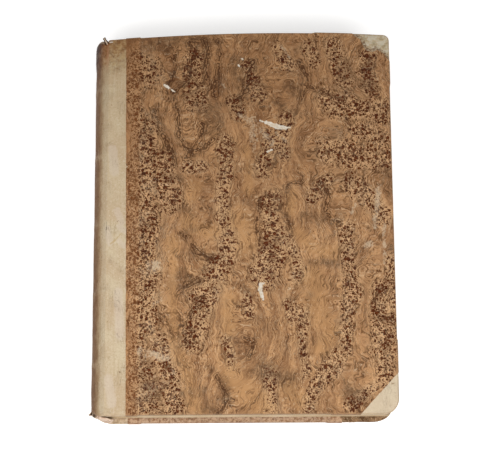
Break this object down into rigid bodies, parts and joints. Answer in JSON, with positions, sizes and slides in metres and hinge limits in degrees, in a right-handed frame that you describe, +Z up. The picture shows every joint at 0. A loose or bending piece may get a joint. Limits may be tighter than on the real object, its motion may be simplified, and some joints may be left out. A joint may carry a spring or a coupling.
{
  "type": "hardback book",
  "caption": "Old folio half bound in vellum over laced boards, with brown marbled paper sides; each cover opens on its joint.",
  "frame": {"origin": "centre of the closed book's base, on the surface that it lies on", "axes": "+X from the spine to the fore-edge, +Y from the tail to the head, +Z up out of the front cover"},
  "size_m": [0.2456, 0.3199, 0.0528],
  "materials": {
    "marbled_paper": "brown marbled paper, burnished and rubbed",
    "vellum": "aged cream vellum, soiled and creased",
    "board": "layered rope-fibre pasteboard, frayed where bare",
    "leaves": "edges of laid rag paper, toned and uneven",
    "endpaper": "laid rag paper, toned at the edges",
    "cord": "twisted hemp cord",
    "lining": "glued linen lining",
    "sewn_band": "linen thread sewn over a core"
  },
  "bodies": {
    "back_cover": {"back_board": "board", "back_marbled_paper": "marbled_paper", "back_vellum_strip": "vellum", "back_head_corner": "vellum", "back_tail_corner": "vellum", "back_pastedown": "endpaper", "back_cord_slip_1": "cord", "back_cord_slip_2": "cord", "back_cord_slip_3": "cord", "back_cord_slip_4": "cord", "back_cord_slip_5": "cord"},
    "leaves": {"text_block": "leaves", "front_flyleaf": "endpaper", "back_flyleaf": "endpaper", "spine_lining": "lining", "spine_vellum": "vellum", "headband": "sewn_band", "tailband": "sewn_band", "sewing_cord_1": "cord", "sewing_cord_2": "cord", "sewing_cord_3": "cord", "sewing_cord_4": "cord", "sewing_cord_5": "cord"},
    "front_cover": {"front_board": "board", "front_marbled_paper": "marbled_paper", "front_vellum_strip": "vellum", "front_head_corner": "vellum", "front_tail_corner": "vellum", "front_pastedown": "endpaper", "front_cord_slip_1": "cord", "front_cord_slip_2": "cord", "front_cord_slip_3": "cord", "front_cord_slip_4": "cord", "front_cord_slip_5": "cord"}
  },
  "joints": [
    {"name": "back_joint", "type": "hinge", "parent": "back_cover", "child": "leaves", "pos_m": [-0.11052, 0, 0.00025], "axis": [0, -1, 0], "range_deg": [0, 90]},
    {"name": "front_joint", "type": "hinge", "parent": "leaves", "child": "front_cover", "pos_m": [-0.11052, 0, 0.05065], "axis": [0, -1, 0], "range_deg": [0, 175]}
  ]
}
